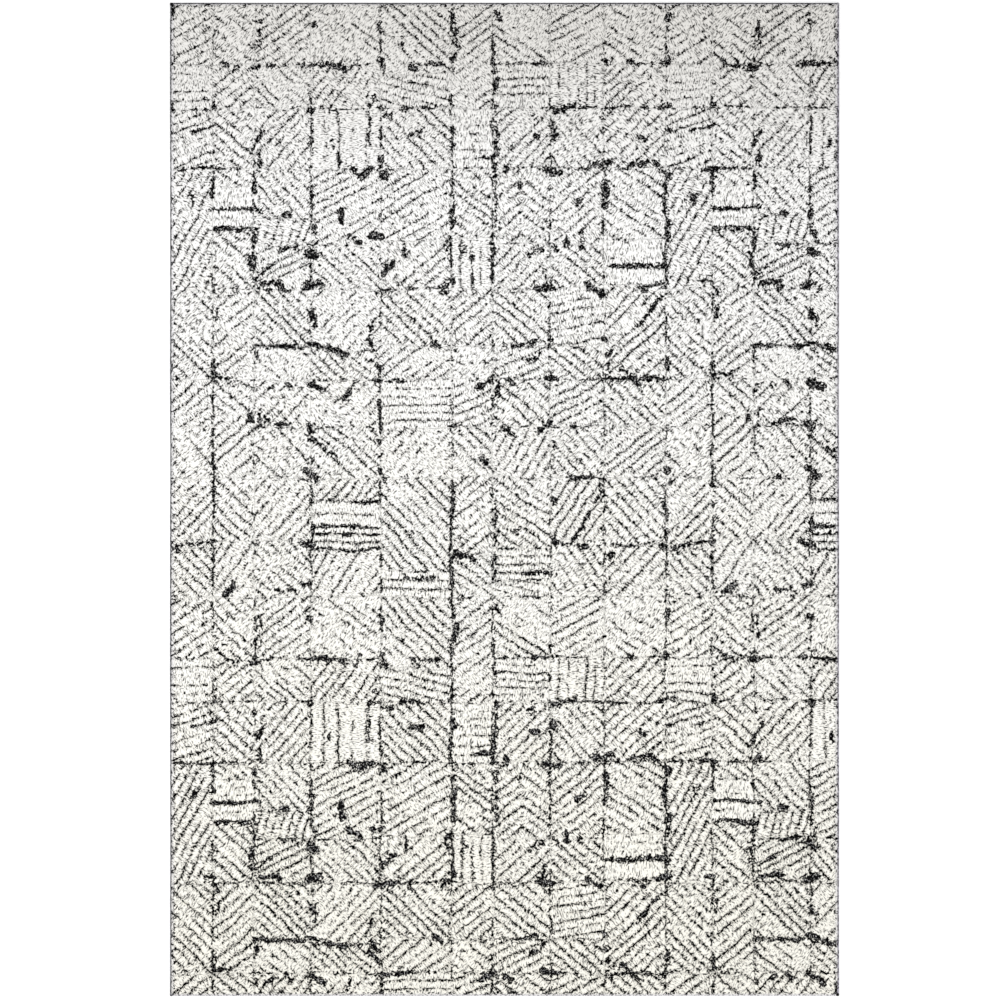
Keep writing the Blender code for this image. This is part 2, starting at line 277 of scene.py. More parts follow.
def scattered(number: np.ndarray, seed: float) -> np.ndarray:
    """Gives each whole number its own random value from 0 to 1."""
    return np.modf(np.abs(np.sin(number * 12.9898 + seed * 78.233)) * 43758.5453)[0]


@dataclass
class PileSample:
    """The pile at some points.

    Attributes:
        charcoal: How far inside a seam or a heavy mark a point is, negative outside.
        line: Half the width of the charcoal line in the nearest crease, negative for none.
        distance: Distance to the nearest crease.
        crown: Height of the pile, from 0 in a crease to 1 on top of a ridge.
        yarn: Distance along the ridge, distance across it, and the ridges' pitch.
    """

    charcoal: np.ndarray
    line: np.ndarray
    distance: np.ndarray
    crown: np.ndarray
    yarn: np.ndarray


@dataclass(frozen=True)
class DesignColumn:
    """One column of the design as it stands on the rug.

    Attributes:
        blocks: Its blocks, from head to foot.
        next_blocks: The blocks of the column to its right.
        left: Where its full width starts, in metres across the rug.
        width: Its full width, in metres.
        number: Its number on the rug, from 0 on the left.
    """

    blocks: tuple
    next_blocks: tuple
    left: float
    width: float
    number: int


@dataclass(frozen=True)
class CarvedDesign:
    """The drawn design, placed on the rug, with the unevenness of a woven piece.

    Attributes:
        seams: Where the seams between the pile columns are, in metres across the rug.
        head_edge: Where the rug ends at the head, in metres along the rug.
        repeat_length: Length of one repeat, in metres.
        head_lead: Distance from the head edge to the repeat's head, in metres.
        out_of_square: How far the rows climb for each metre across.
        broad_waver: How far lines stray over a hand's width, in metres.
        fine_waver: How far lines stray from tuft to tuft, in metres.
        opening: How much more the lines show at the foot than at the head.
    """

    seams: tuple
    head_edge: float
    repeat_length: float = 1.418
    head_lead: float = -0.002
    out_of_square: float = 0.003
    broad_waver: float = 0.0085
    fine_waver: float = 0.0042
    opening: float = 0.17

    @property
    def repeat_width(self) -> float:
        """Width of one repeat, in metres."""
        return self.seams[len(DESIGN_COLUMNS) + 1] - self.seams[1]

    def columns(self) -> list:
        """Lists the columns that the rug shows.

        Returns:
            The columns, from left to right.
        """
        kinds = len(DESIGN_COLUMNS)
        widths = [self.seams[kind + 2] - self.seams[kind + 1] for kind in range(kinds)]
        placed = []
        for number in range(len(self.seams) - 1):
            kind = (number - 1) % kinds
            left = self.seams[number] if number else self.seams[1] - widths[kind]
            beside = DESIGN_COLUMNS[(kind + 1) % kinds]
            placed.append(DesignColumn(DESIGN_COLUMNS[kind], beside, left, widths[kind], number))
        return placed

    def sample(self, x: np.ndarray, y: np.ndarray) -> PileSample:
        """Reads the design.

        Args:
            x: Positions across the rug, in metres.
            y: Positions along the rug, in metres.

        Returns:
            The pile at each point.
        """
        off_seam = np.min([np.abs(x - seam) for seam in self.seams], axis=0)
        waver_x = (SmoothNoise(0.060, 1).at(x, y) - 0.5) * self.broad_waver
        waver_x *= 0.75 + 0.25 * np.clip(off_seam / 0.03, 0, 1)
        waver_x += (SmoothNoise(0.012, 2).at(x, y) - 0.5) * self.fine_waver
        waver_y = (SmoothNoise(0.060, 3).at(x, y) - 0.5) * self.broad_waver
        waver_y += (SmoothNoise(0.012, 4).at(x, y) - 0.5) * self.fine_waver
        across = x + waver_x
        down = self.head_edge + self.head_lead - y + self.out_of_square * x + waver_y
        down = np.mod(down, self.repeat_length)
        pile = PileSample(
            np.full(x.shape, -1.0), np.full(x.shape, -1.0), np.ones(x.shape),
            np.ones(x.shape), np.zeros((*x.shape, 3)),
        )
        for column in self.columns():
            first, last = column.number == 0, column.number == len(self.seams) - 2
            inside = (across >= column.left) | first
            inside &= (across < column.left + column.width) | last
            if inside.any():
                self._column(pile, column, inside, across, down, x, y)
        np.maximum(pile.charcoal, self._marks(across, down, x, y), out=pile.charcoal)
        return pile

    def _column(self, pile: PileSample, column: DesignColumn, inside: np.ndarray, across: np.ndarray,
                down: np.ndarray, x: np.ndarray, y: np.ndarray) -> None:
        """Lays the ridges and seams of one column into the pile.

        Args:
            pile: The pile, which is filled in.
            column: The column.
            inside: Which points the column holds.
            across: Positions across the rug on the wavering design, in metres.
            down: Distances from the repeat's head on the wavering design, in metres.
            x: True positions across the rug, in metres.
            y: True positions along the rug, in metres.
        """
        gaps = SmoothNoise(0.013, 5).at(x, y) * 0.6 + SmoothNoise(0.0048, 6).at(x, y) * 0.4
        footward = (self.head_edge - y) / (2 * self.head_edge)
        gaps += self.opening * (footward - 0.18)
        total = sum(block.height for block in column.blocks)
        head = 0.0
        for order, block in enumerate(column.blocks):
            height = block.height / total * self.repeat_length
            here = inside & (down >= head) & (down < head + height)
            u, t, gap = across[here] - column.left, down[here] - head, gaps[here]
            yarn, phase = self._yarn(block, u, t, column.width, height)
            pitch = yarn[:, 2]
            line = np.round(phase)
            distance = np.abs(phase - line) * pitch
            chance = scattered(line, column.number % len(DESIGN_COLUMNS) + order * 0.37)
            shown = 0.16 + 0.085 * block.ink * (0.5 + 0.8 * chance)
            thickest = (0.0011 + 0.0009 * chance) * (0.75 + 0.45 * footward[here])
            half = np.minimum((gap - (1 - shown)) * 0.018, thickest)
            following = column.blocks[(order + 1) % len(column.blocks)]
            sides = np.minimum(u, column.width - u)
            ends = np.minimum(t, height - t)
            seam = np.maximum(self._seam(block.head, t, gap), self._seam(following.head, height - t, gap))
            beside = self._side_strength(column.next_blocks, down[here])
            seam = np.maximum(seam, self._seam(block.side, u, gap))
            seam = np.maximum(seam, self._seam(beside, column.width - u, gap))
            border = np.minimum(sides, ends)
            pile.charcoal[here] = seam
            pile.line[here] = np.where(border < 0.0018, -0.002, half)
            pile.distance[here] = distance
            crease = np.minimum(distance, border + 0.0016)
            steep, broad = self._arch(crease / 0.0055), self._arch(crease * 2 / pitch)
            pile.crown[here] = 0.72 * steep + 0.28 * broad
            pile.yarn[here] = yarn
            head += height

    @staticmethod
    def _yarn(block: Block, u: np.ndarray, t: np.ndarray, width: float, height: float) -> tuple:
        """Follows the ridges of a block, with a whole number of them along each side.

        Args:
            block: The block.
            u: Distance from its left side.
            t: Distance from its head.
            width: Its width.
            height: Its height.

        Returns:
            Distances along and across the ridges with their pitch, and the count of ridges.
        """
        lean = math.radians(block.lean)
        if block.peaked:
            width = width / 2
            u = width - np.abs(u - width)
        along_side = round(width * math.sin(lean) / (block.pitch * MM))
        down_side = round(height * math.cos(lean) / (block.pitch * MM))
        if along_side == 0 and down_side == 0:
            down_side = 1
        slope_u, slope_t = along_side / width, down_side / height
        steep = math.hypot(slope_u, slope_t)
        phase = slope_u * u + slope_t * t
        along = (slope_t * u - slope_u * t) / steep
        return np.stack([along, phase / steep, np.full(u.shape, 1 / steep)], 1), phase

    @staticmethod
    def _arch(share: np.ndarray) -> np.ndarray:
        """Rounds a height from 0 at 0 to 1 at 1 and beyond."""
        return np.sqrt(1 - (1 - np.clip(share, 0, 1)) ** 2)

    @staticmethod
    def _seam(strength: np.ndarray, distance: np.ndarray, gaps: np.ndarray) -> np.ndarray:
        """Draws a seam.

        Args:
            strength: From 0 to 9.
            distance: Distance from the seam, in metres.
            gaps: Random values that break the line up.

        Returns:
            How far inside charcoal each point is, in metres.
        """
        shown = 0.22 + 0.055 * strength
        half = np.minimum((gaps - (1 - shown)) * 0.024, (1.0 + 0.26 * strength) * MM)
        return half - np.abs(distance)

    def _side_strength(self, blocks: tuple, down: np.ndarray) -> np.ndarray:
        """Finds how strong the left seam of a column is.

        Args:
            blocks: The column's blocks.
            down: Distances from the repeat's head, in metres.

        Returns:
            The strength at each distance, from 0 to 9.
        """
        heights = np.array([block.height for block in blocks], float)
        feet = np.cumsum(heights) / heights.sum() * self.repeat_length
        order = np.clip(np.searchsorted(feet, down, side="right"), 0, len(blocks) - 1)
        return np.array([block.side for block in blocks], float)[order]

    def _marks(self, across: np.ndarray, down: np.ndarray, x: np.ndarray, y: np.ndarray) -> np.ndarray:
        """Draws the heavy marks of the repeats, and those that the rug has once.

        Args:
            across: Positions across the rug on the wavering design, in metres.
            down: Distances from the repeat's head on the wavering design, in metres.
            x: True positions across the rug, in metres.
            y: True positions along the rug, in metres.

        Returns:
            How far inside a mark each point is, in metres, negative outside.
        """
        charcoal = np.full(x.shape, -1.0)
        ragged = (SmoothNoise(0.0055, 9).at(x, y) - 0.5) * 0.010
        ragged += (SmoothNoise(0.018, 10).at(x, y) - 0.5) * 0.007
        for mark in DESIGN_MARKS:
            for shift in (-1, 0, 1):
                left = self.seams[1] + shift * self.repeat_width
                self._draw(charcoal, mark, across - left, down, ragged)
        for mark in CORNER_MARKS:
            self._draw(charcoal, mark, x - self.seams[0], self.head_edge - y, ragged)
        return charcoal

    @staticmethod
    def _draw(charcoal: np.ndarray, mark: Mark, across: np.ndarray, down: np.ndarray,
              ragged: np.ndarray) -> None:
        """Draws one heavy mark, if it reaches any of the points.

        Args:
            charcoal: How far inside charcoal each point is, in metres, which grows by the mark.
            mark: The mark.
            across: Distances across from where the mark's chart starts, in metres.
            down: Distances down from where the mark's chart starts, in metres.
            ragged: How far the mark's outline strays at each point, in metres.
        """
        reach = (mark.width / 2 + 8) * MM
        start = np.array((mark.across, mark.down)) * MM
        run = np.array((mark.run, mark.drop)) * MM
        near = np.abs(across - start[0] - run[0] / 2) < abs(run[0]) / 2 + reach
        if not near.any():
            return
        near &= np.abs(down - start[1] - run[1] / 2) < abs(run[1]) / 2 + reach
        if not near.any():
            return
        px, py = across[near] - start[0], down[near] - start[1]
        length = max(float(run @ run), 1e-9)
        share = np.clip((px * run[0] + py * run[1]) / length, 0, 1)
        distance = np.hypot(px - share * run[0], py - share * run[1])
        drawn = (0.36 * mark.width + 0.2) * MM - distance + ragged[near]
        charcoal[near] = np.maximum(charcoal[near], drawn)


# ---------------------------------------------------------------------------
# Materials
# ---------------------------------------------------------------------------


class Value:
    """A socket that carries a number, with arithmetic that adds Math nodes."""

    def __init__(self, recipe: "Recipe", socket: bpy.types.NodeSocket) -> None:
        """Wraps a socket.

        Args:
            recipe: The material being built.
            socket: The output socket.
        """
        self.recipe = recipe
        self.socket = socket

    def __add__(self, other: object) -> "Value":
        """Adds."""
        return self.recipe.worked_out("ADD", self, other)

    __radd__ = __add__

    def __sub__(self, other: object) -> "Value":
        """Subtracts."""
        return self.recipe.worked_out("SUBTRACT", self, other)

    def __rsub__(self, other: object) -> "Value":
        """Subtracts this from the other."""
        return self.recipe.worked_out("SUBTRACT", other, self)

    def __mul__(self, other: object) -> "Value":
        """Multiplies."""
        return self.recipe.worked_out("MULTIPLY", self, other)

    __rmul__ = __mul__

    def __truediv__(self, other: object) -> "Value":
        """Divides."""
        return self.recipe.worked_out("DIVIDE", self, other)

    def __rtruediv__(self, other: object) -> "Value":
        """Divides the other by this."""
        return self.recipe.worked_out("DIVIDE", other, self)

    def __abs__(self) -> "Value":
        """Drops the sign."""
        return self.recipe.worked_out("ABSOLUTE", self)

    def rounded(self) -> "Value":
        """Rounds to the nearest whole number."""
        return self.recipe.worked_out("ROUND", self)

    def sine(self) -> "Value":
        """Takes the sine, in radians."""
        return self.recipe.worked_out("SINE", self)

    def or_more(self, other: object) -> "Value":
        """Takes the larger of this and the other."""
        return self.recipe.worked_out("MAXIMUM", self, other)

    def or_less(self, other: object) -> "Value":
        """Takes the smaller of this and the other."""
        return self.recipe.worked_out("MINIMUM", self, other)

    def above(self, low: float, high: float) -> "Value":
        """Eases from 0 at low to 1 at high.

        Args:
            low: Value that gives 0.
            high: Value that gives 1.

        Returns:
            The eased value.
        """
        made = self.recipe.node(
            "ShaderNodeMapRange",
            {"interpolation_type": "SMOOTHSTEP"},
            {"Value": self, "From Min": low, "From Max": high, "To Min": 0.0, "To Max": 1.0},
        )
        return Value(self.recipe, made.outputs["Result"])


class Recipe:
    """One material and the nodes that it is built from."""

    def __init__(self, name: str) -> None:
        """Starts a material with a Principled shader.

        Args:
            name: The material's name.
        """
        self.material = bpy.data.materials.new(name)
        self.material.use_nodes = True
        self.tree = self.material.node_tree
        self.shader = self.tree.nodes["Principled BSDF"]
        self.place = self.node("ShaderNodeTexCoord").outputs["Object"]

    def node(self, kind: str, settings: dict | None = None, sockets: dict | None = None) -> bpy.types.Node:
        """Adds a node.

        Args:
            kind: The node's type.
            settings: Its properties, which are set first.
            sockets: Values or links for its inputs, by name or by number.

        Returns:
            The node.
        """
        made = self.tree.nodes.new(kind)
        for name, value in (settings or {}).items():
            setattr(made, name, value)
        for key, value in (sockets or {}).items():
            self.feed(made.inputs[key], value)
        return made

    def feed(self, socket: bpy.types.NodeSocket, value: object) -> None:
        """Links a value to a socket, or sets the socket to it.

        Args:
            socket: The input.
            value: A Value, an output socket, or plain numbers.
        """
        if isinstance(value, Value):
            value = value.socket
        if isinstance(value, bpy.types.NodeSocket):
            self.tree.links.new(value, socket)
        else:
            socket.default_value = value

    def worked_out(self, operation: str, *values: object) -> Value:
        """Adds a Math node that works on these values."""
        made = self.node("ShaderNodeMath", {"operation": operation}, dict(enumerate(values)))
        return Value(self, made.outputs[0])

    def noise(self, size: float, detail: float = 2.0, rough: float = 0.5, twist: float = 0.0) -> Value:
        """Adds a noise with features of about this size.

        Args:
            size: Size of the features, in metres.
            detail: How many finer layers it has.
            rough: How strong those are.
            twist: How much it is distorted.

        Returns:
            The noise, from 0 to 1.
        """
        made = self.node(
            "ShaderNodeTexNoise",
            {"noise_dimensions": "3D"},
            {
                "Vector": self.place, "Scale": 1 / size,
                "Detail": detail, "Roughness": rough, "Distortion": twist,
            },
        )
        return Value(self, made.outputs[0])

    def stored(self, name: str) -> Value:
        """Reads a value that each point of the mesh holds."""
        made = self.node("ShaderNodeAttribute", {"attribute_name": name, "attribute_type": "GEOMETRY"})
        return Value(self, made.outputs["Fac"])

    def stored_parts(self, name: str) -> tuple:
        """Reads the three values that each point of the mesh holds under one name.

        Args:
            name: The attribute's name.

        Returns:
            The three values.
        """
        made = self.node("ShaderNodeAttribute", {"attribute_name": name, "attribute_type": "GEOMETRY"})
        split = self.node("ShaderNodeSeparateXYZ", {}, {0: made.outputs["Vector"]})
        return tuple(Value(self, socket) for socket in split.outputs)

    def noise_at(self, x: object, y: object, z: object, detail: float, rough: float) -> Value:
        """Adds a noise over coordinates of its own.

        Args:
            x: First coordinate.
            y: Second coordinate.
            z: Third coordinate.
            detail: How many finer layers it has.
            rough: How strong those are.

        Returns:
            The noise, from 0 to 1.
        """
        place = self.node("ShaderNodeCombineXYZ", {}, {0: x, 1: y, 2: z})
        made = self.node(
            "ShaderNodeTexNoise", {"noise_dimensions": "3D"},
            {"Vector": place.outputs[0], "Scale": 1.0, "Detail": detail, "Roughness": rough},
        )
        return Value(self, made.outputs[0])

    def blend(self, share: object, first: object, second: object) -> bpy.types.NodeSocket:
        """Mixes two colours.

        Args:
            share: How much of the second colour.
            first: A colour or a socket.
            second: A colour or a socket.

        Returns:
            The mixed colour.
        """
        made = self.node("ShaderNodeMix", {"data_type": "RGBA", "clamp_factor": True})
        self.feed(made.inputs[0], share)
        self.feed(made.inputs[6], first)
        self.feed(made.inputs[7], second)
        return made.outputs[2]

    def along(self, axis: str) -> Value:
        """Reads the place of a point along one axis, in metres."""
        split = self.node("ShaderNodeSeparateXYZ", {}, {0: self.place})
        return Value(self, split.outputs[axis])

    def finish(self, colour: object, rough: float, height: object = None,
               depth: float = 0.0) -> bpy.types.Material:
        """Feeds the shader.

        Args:
            colour: The base colour.
            rough: The roughness.
            height: The surface's fine height, from 0 to 1, or None.
            depth: How deep that height goes, in metres.

        Returns:
            The material.
        """
        self.feed(self.shader.inputs["Base Color"], colour)
        self.feed(self.shader.inputs["Roughness"], rough)
        self.feed(self.shader.inputs["Specular IOR Level"], 0.0)
        if height is not None:
            bump = self.node("ShaderNodeBump", {}, {"Strength": 1.0, "Distance": depth, "Height": height})
            self.feed(self.shader.inputs["Normal"], bump.outputs[0])
        return self.material


Colour = tuple


@dataclass(frozen=True)
class CreamPile:
    """Finish of the tall cream pile, with charcoal where its roots show, and painted shade between the tufts
    and in the creases.

    Attributes:
        half_width: Distance from the rug's middle to the rim at each side, in metres.
        half_length: Distance from the rug's middle to the rim at each end, in metres.
        tip: Colour of the tufts' ends.
        shade: Painted shade down between the tufts and fibre bundles, and in the creases.
        foot_shade: Painted shade that the pile takes towards the foot of the rug, yellower in hue.
        head_shade: Painted shade that the pile takes towards the head, deeper to the right.
        rimmed: Colour that it takes beside the overcast edges.
        charcoal: Colour of the charcoal yarn.
    """

    half_width: float
    half_length: float
    tip: Colour = (0.815, 0.81, 0.80, 1.0)
    shade: Colour = (0.075, 0.074, 0.070, 1.0)
    foot_shade: Colour = (0.78, 0.76, 0.69, 1.0)
    head_shade: Colour = (0.63, 0.615, 0.585, 1.0)
    rimmed: Colour = (0.56, 0.55, 0.60, 1.0)
    charcoal: Colour = (0.002, 0.002, 0.002, 1.0)

    def material(self) -> bpy.types.Material:
        """Makes the material.

        Returns:
            The material, which reads the values that each strip stores at its points.
        """
        recipe = Recipe("cream_pile_yarn")
        along, across, pitch = recipe.stored_parts("yarn")
        turn = across / pitch
        crease = abs(turn - turn.rounded()) * pitch * 1000
        hatch = recipe.noise_at(along * (1 / 0.0025), across * (1 / 0.0084), pitch * 900, 1.0, 0.6)
        curl = recipe.noise(0.0032, 1.0, 0.6, 0.8)
        bead = (hatch - 0.5) * 15.0 + (recipe.noise(0.0052, 1.0, 0.5) - 0.5) * 24.0 - 0.1
        line = recipe.stored("line") * 1000
        # Painted shade: dark hatch strokes stand for the shadows between fibre bundles, and a faint grey line
        # for the shade down in each crease.
        stroke = hatch.above(0.50, 0.60) * 0.56 + hatch.above(0.62, 0.68) * 0.44
        stroke = stroke + curl.above(0.54, 0.62) * 0.14
        faint = (0.7 - crease + bead * 0.25 + line * 0.35).above(-0.6, 0.5) * 0.8
        painted_shade_share = stroke.or_more(faint)
        rim = self._rim(recipe)
        cream = recipe.blend(painted_shade_share, self._tips(recipe, rim), self.shade)
        lined = (line - crease + bead).above(-0.10, 0.25)
        marked = (recipe.stored("charcoal") * 1000 + bead * 0.8 + 1.2).above(-0.2, 0.4)
        speck = recipe.noise(0.0062, 1.0, 0.5).above(0.57, 0.62)
        speck = speck * rim.above(1.5, 3.0) * (1 - rim.above(6.0, 8.5))
        inked = lined.or_more(marked).or_more(speck)
        colour = recipe.blend(inked, cream, self.charcoal)
        return recipe.finish(colour, 0.95, (1 - painted_shade_share) * 0.7 + curl * 0.3, 0.0006)

    def _rim(self, recipe: Recipe) -> Value:
        """Measures how far inside the rim a point is.

        Args:
            recipe: The material being built.

        Returns:
            The distance to the nearest rim, in millimetres.
        """
        side = self.half_width - abs(recipe.along("X"))
        end = self.half_length - abs(recipe.along("Y"))
        return side.or_less(end) * 1000

    def _tips(self, recipe: Recipe, rim: Value) -> bpy.types.NodeSocket:
        """Colours the tufts' ends, which differ from the head to the foot and at the rim, with painted shade
        towards the foot and towards the head, deeper to the right at the head.

        Args:
            recipe: The material being built.
            rim: Distance to the nearest rim, in millimetres.

        Returns:
            The colour.
        """
        patch = recipe.noise(0.16, 2.0)
        # Painted shade towards the foot of the rug, yellower, in uneven patches.
        footward = (recipe.along("Y") * -0.55 + patch * 0.5).above(-0.30, 1.05)
        # Painted shade towards the head of the rug, deeper to the right.
        head_shade_share = (recipe.along("Y") + patch * 0.12).above(0.72, 1.25)
        head_shade_share = head_shade_share * (recipe.along("X") * 0.10 + 0.86)
        colour = recipe.blend(footward, self.tip, self.foot_shade)
        colour = recipe.blend(head_shade_share, colour, self.head_shade)
        return recipe.blend((1 - rim.above(1.0, 6.0)) * 0.4, colour, self.rimmed)


@dataclass(frozen=True)
class GroundPile:
    """Finish of the short charcoal pile between the ridges.

    Attributes:
        tip: Colour of the tufts' ends.
        shade: Painted shade down between the tufts.
        fleck: Colour of the cream fibres that fall across it.
    """

    tip: Colour = (0.008, 0.008, 0.009, 1.0)
    shade: Colour = (0.001, 0.001, 0.001, 1.0)
    fleck: Colour = (0.80, 0.79, 0.78, 1.0)

    def material(self) -> bpy.types.Material:
        """Makes the material.

        Returns:
            The material.
        """
        recipe = Recipe("charcoal_ground_yarn")
        curl = recipe.noise(0.0030, 2.0, 0.6, 1.0)
        strand = recipe.noise(0.0090, 1.0, 0.6, 0.5) - 0.5
        strand = 1 - abs(strand).above(0.02, 0.05)
        # Painted shade between the charcoal tufts.
        colour = recipe.blend(curl.above(0.4, 0.6), self.tip, self.shade)
        colour = recipe.blend(strand * curl.above(0.50, 0.57), colour, self.fleck)
        return recipe.finish(colour, 0.95, curl + strand, 0.0010)


@dataclass(frozen=True)
class WrappedYarn:
    """Finish of yarn that is wrapped round an edge or a cord.

    Attributes:
        name: The material's name.
        light: The lighter strand.
        dark: The darker strand.
        share: How much of the dark strand shows, from 0 to 1.
    """

    name: str
    light: Colour
    dark: Colour
    share: float = 0.5

    def material(self) -> bpy.types.Material:
        """Makes the material.

        Returns:
            The material.
        """
        recipe = Recipe(self.name)
        fibre = recipe.noise(0.0014, 3.0, 0.6, 0.8)
        strand = recipe.noise(0.0052, 1.0, 0.5)
        middle = 0.70 - 0.4 * self.share
        dark = (strand + (fibre - 0.5) * 0.3).above(middle - 0.06, middle + 0.06)
        colour = recipe.blend(dark, self.light, self.dark)
        return recipe.finish(colour, 0.9, fibre, 0.0005)


@dataclass(frozen=True)
class PlainWeave:
    """Finish of a plain-woven cloth, or of a coat with the cloth's print in it.

    Attributes:
        name: The material's name.
        high: Colour on the threads.
        low: Painted shade between the threads, where the weave lies low.
        thread: Distance from thread to thread, in metres.
        rough: Roughness.
    """

    name: str
    high: Colour
    low: Colour
    thread: float
    rough: float = 0.9

    def material(self) -> bpy.types.Material:
        """Makes the material.

        Returns:
            The material.
        """
        recipe = Recipe(self.name)
        waver = recipe.noise(0.02, 2.0) * 0.4
        turn = math.tau / self.thread
        warp = recipe.along("X") * turn + waver
        weft = recipe.along("Y") * turn + waver
        over = warp.sine() * weft.sine() * 0.5 + 0.5
        lumps = recipe.noise(0.004, 3.0)
        height = over * 0.7 + lumps * 0.3
        # Painted shade: darker where the weave lies low, between the threads.
        colour = recipe.blend(height, self.low, self.high)
        return recipe.finish(colour, self.rough, height, 0.0005)


@dataclass(frozen=True)
class Floor:
    """Finish of the plain pale floor.

    Attributes:
        colour: Colour of the floor.
    """

    colour: Colour = (0.93, 0.93, 0.93, 1.0)

    def material(self) -> bpy.types.Material:
        """Makes the material."""
        return Recipe("pale_floor").finish(self.colour, 0.9)


# ---------------------------------------------------------------------------
# Pieces
# ---------------------------------------------------------------------------


def made_object(name: str, shape: bmesh.types.BMesh) -> bpy.types.Object:
    """Turns a finished shape into an object of the scene.

    Args:
        name: The object's name.
        shape: The shape, which is freed.

    Returns:
        The object.
    """
    mesh = bpy.data.meshes.new(name)
    shape.to_mesh(mesh)
    shape.free()
    obj = bpy.data.objects.new(name, mesh)
    bpy.context.scene.collection.objects.link(obj)
    return obj


def gridded_slab(name: str, columns: int, rows: int) -> bpy.types.Object:
    """Makes a closed slab one unit wide, long and thick, with a gridded top at height 0.

    Args:
        name: The object's name.
        columns: How many faces it has across.
        rows: How many faces it has along.

    Returns:
        The object, linked to the scene.
    """
    shape = bmesh.new()
    bmesh.ops.create_grid(shape, x_segments=columns, y_segments=rows, size=0.5)
    rim = [edge for edge in shape.edges if edge.is_boundary]
    grown = bmesh.ops.extrude_edge_only(shape, edges=rim)["geom"]
    foot = [item for item in grown if isinstance(item, bmesh.types.BMVert)]
    bmesh.ops.translate(shape, vec=(0.0, 0.0, -1.0), verts=foot)
    for edge in rim:
        edge.smooth = False
    base = [edge for edge in shape.edges if edge.is_boundary]
    bmesh.ops.contextual_create(shape, geom=base)
    bmesh.ops.recalc_face_normals(shape, faces=shape.faces)
    return made_object(name, shape)


def points_of(obj: bpy.types.Object) -> np.ndarray:
    """Reads the mesh's points.

    Args:
        obj: The object.

    Returns:
        A row of x, y and z for each point.
    """
    flat = np.empty(len(obj.data.vertices) * 3, np.float32)
    obj.data.vertices.foreach_get("co", flat)
    return flat.reshape(-1, 3).astype(float)


def move_points(obj: bpy.types.Object, points: np.ndarray) -> None:
    """Writes the mesh's points back."""
    obj.data.vertices.foreach_set("co", points.astype(np.float32).ravel())
    obj.data.update()


def store(obj: bpy.types.Object, name: str, values: np.ndarray) -> None:
    """Stores one value at each point of the mesh."""
    layer = obj.data.attributes.new(name, "FLOAT", "POINT")
    layer.data.foreach_set("value", values.astype(np.float32))


def store_vector(obj: bpy.types.Object, name: str, values: np.ndarray) -> None:
    """Stores three values at each point of the mesh."""
    layer = obj.data.attributes.new(name, "FLOAT_VECTOR", "POINT")
    layer.data.foreach_set("vector", values.astype(np.float32).ravel())


def stored_at(obj: bpy.types.Object, name: str) -> np.ndarray:
    """Reads back the value that each point of the mesh holds.

    Args:
        obj: The object.
        name: The attribute's name.

    Returns:
        A value for each point.
    """
    values = np.empty(len(obj.data.vertices), np.float32)
    obj.data.attributes[name].data.foreach_get("value", values)
    return values.astype(float)


def smooth(obj: bpy.types.Object) -> None:
    """Shades the whole mesh smooth."""
    obj.data.polygons.foreach_set("use_smooth", np.ones(len(obj.data.polygons), bool))


def face_corners(mesh: bpy.types.Mesh) -> tuple:
    """Lists the corners of the mesh's faces.

    Args:
        mesh: The mesh.

    Returns:
        Each corner's point, each face's first corner, and how many corners each face has.
    """
    point = np.empty(len(mesh.loops), np.int32)
    mesh.loops.foreach_get("vertex_index", point)
    starts = np.empty(len(mesh.polygons), np.int32)
    mesh.polygons.foreach_get("loop_start", starts)
    return point, starts, np.diff(np.append(starts, len(point)))


def set_map(mesh: bpy.types.Mesh, laid: np.ndarray) -> None:
    """Gives the mesh its map, with one place for each corner of each face."""
    layer = mesh.uv_layers.new(name="OFBake")
    layer.uv.foreach_set("vector", laid.astype(np.float32).ravel())


# How much of a slab's map its top takes.
MAP_TOP_SHARE = 0.94


def lay_flat_map(obj: bpy.types.Object, unit: np.ndarray, folds: int) -> None:
    """Gives a gridded slab its own map: the top cut into strips laid side by side.

    Args:
        obj: The slab.
        unit: Its points while it was one unit across.
        folds: How many strips the top is cut into.
    """
    corner, starts, sizes = face_corners(obj.data)
    place = unit[corner]
    middle = np.repeat(np.add.reduceat(place, starts) / sizes[:, None], sizes, axis=0)
    u, v = place[:, 0] + 0.5, place[:, 1] + 0.5
    fold = np.clip(np.floor((middle[:, 1] + 0.5) * folds), 0, folds - 1)
    strip = MAP_TOP_SHARE / folds
    laid = np.stack([(fold + 0.02 + 0.96 * u) * strip, 0.005 + 0.99 * (v * folds - fold)], 1)
    skirt = (middle[:, 2] < -0.25) & (middle[:, 2] > -0.75)
    side = np.where(middle[:, 0] < 0, 0.0, 0.012)
    ends = np.abs(middle[:, 1]) > 0.4999
    along = np.where(ends, 0.02 * u, 0.03 + 0.94 * v)
    laid[skirt] = np.stack([MAP_TOP_SHARE + 0.005 + side - 0.008 * place[:, 2], along], 1)[skirt]
    base = middle[:, 2] <= -0.75
    laid[base] = np.stack([0.975 + 0.02 * u, 0.01 + 0.98 * v], 1)[base]
    set_map(obj.data, laid)


def flat_grid(name: str, columns: int, rows: int) -> bpy.types.Object:
    """Makes a flat grid one unit wide and long.

    Args:
        name: The object's name.
        columns: How many faces it has across.
        rows: How many faces it has along.

    Returns:
        The object, linked to the scene.
    """
    shape = bmesh.new()
    bmesh.ops.create_grid(shape, x_segments=columns, y_segments=rows, size=0.5)
    return made_object(name, shape)


def close_tube(obj: bpy.types.Object) -> None:
    """Joins the two long sides of a rolled grid, and closes its ends.

    Args:
        obj: The rolled grid.
    """
    shape = bmesh.new()
    shape.from_mesh(obj.data)
    bmesh.ops.remove_doubles(shape, verts=shape.verts, dist=1e-6)
    ends = [edge for edge in shape.edges if edge.is_boundary]
    bmesh.ops.holes_fill(shape, edges=ends, sides=0)
    bmesh.ops.recalc_face_normals(shape, faces=shape.faces)
    shape.to_mesh(obj.data)
    shape.free()


